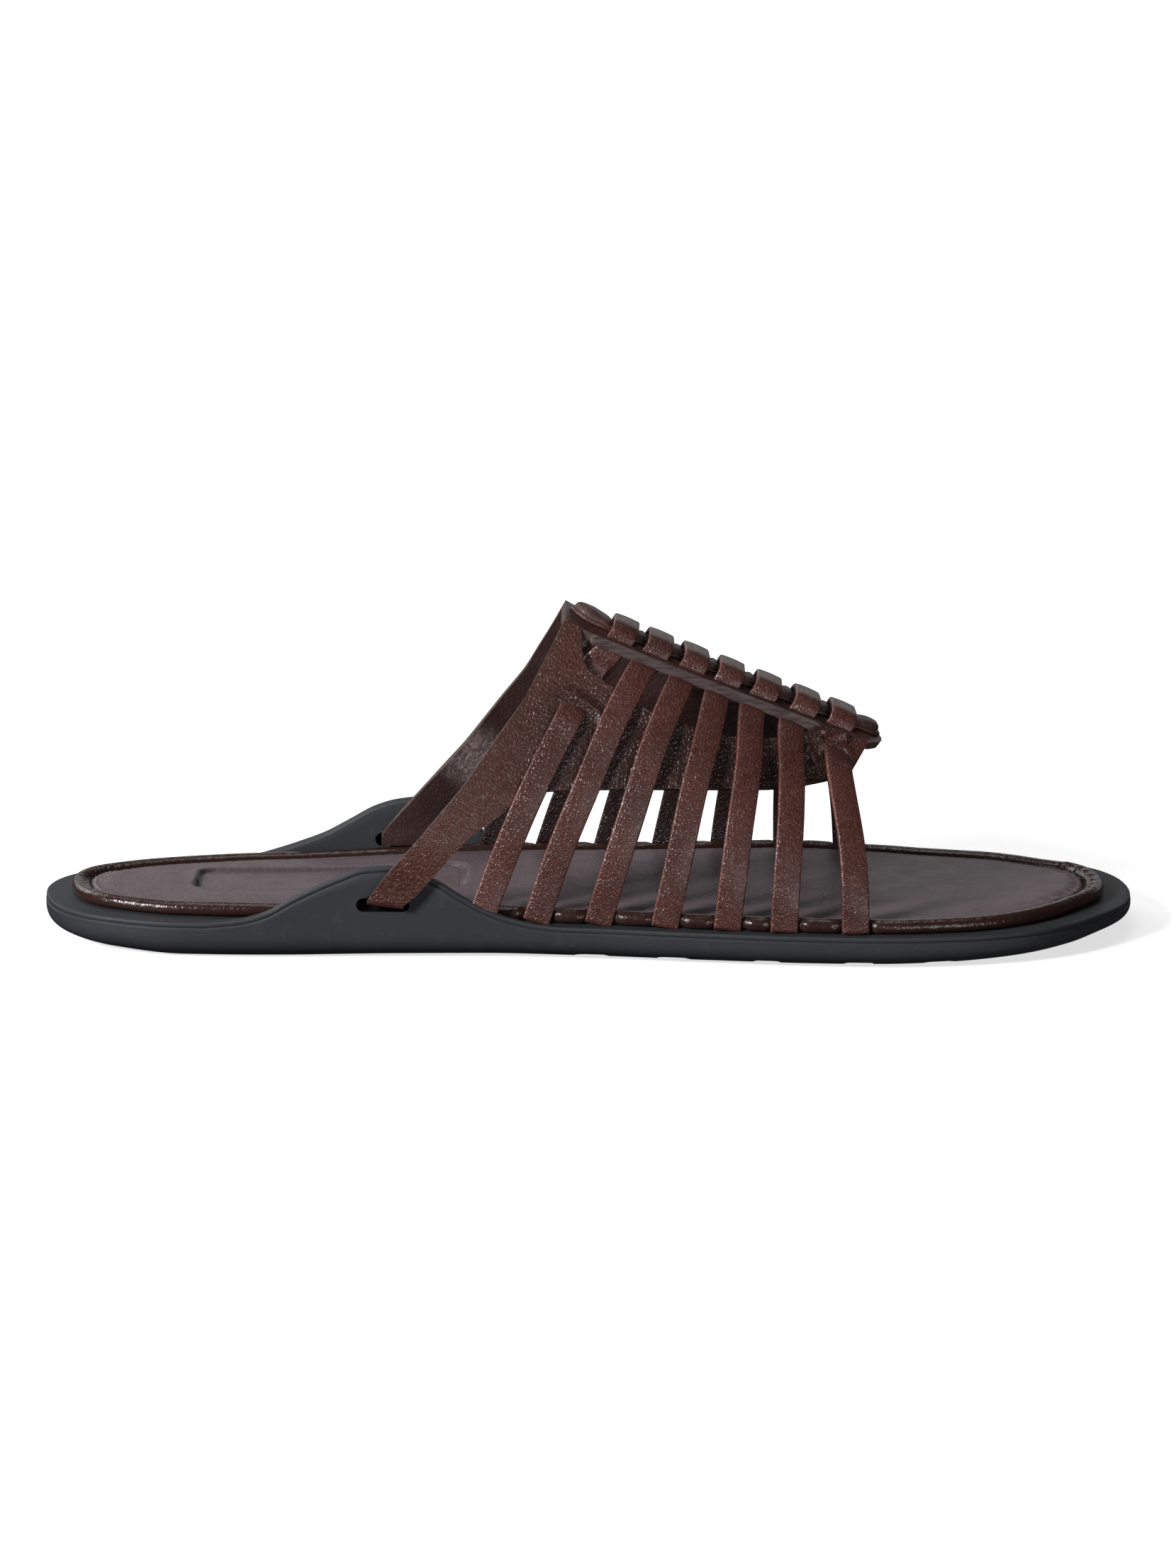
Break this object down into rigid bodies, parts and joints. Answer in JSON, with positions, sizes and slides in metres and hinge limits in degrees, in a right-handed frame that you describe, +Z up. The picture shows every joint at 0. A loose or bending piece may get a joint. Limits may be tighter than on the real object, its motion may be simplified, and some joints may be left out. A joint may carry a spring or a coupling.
{
  "type": "slide sandal",
  "caption": "Flat slide sandal: rubber sole with raised waist wings, padded insole, and a leather upper of cross straps looped over a padded spine.",
  "frame": {"origin": "middle of the sole's footprint, on the floor that the sole stands on", "axes": "+X from the heel to the toe, +Y to the inner (medial) side, +Z up"},
  "size_m": [0.2694, 0.0848, 0.0819],
  "materials": {
    "outsole_rubber": "matt charcoal",
    "insole_leather": "satin mauve grey",
    "upper_leather": "satin dark brown, fine grain",
    "spine_leather": "satin brown"
  },
  "bodies": {
    "root": {"outsole": "outsole_rubber", "insole": "insole_leather", "upper": "upper_leather", "spine": "spine_leather"}
  },
  "joints": []
}
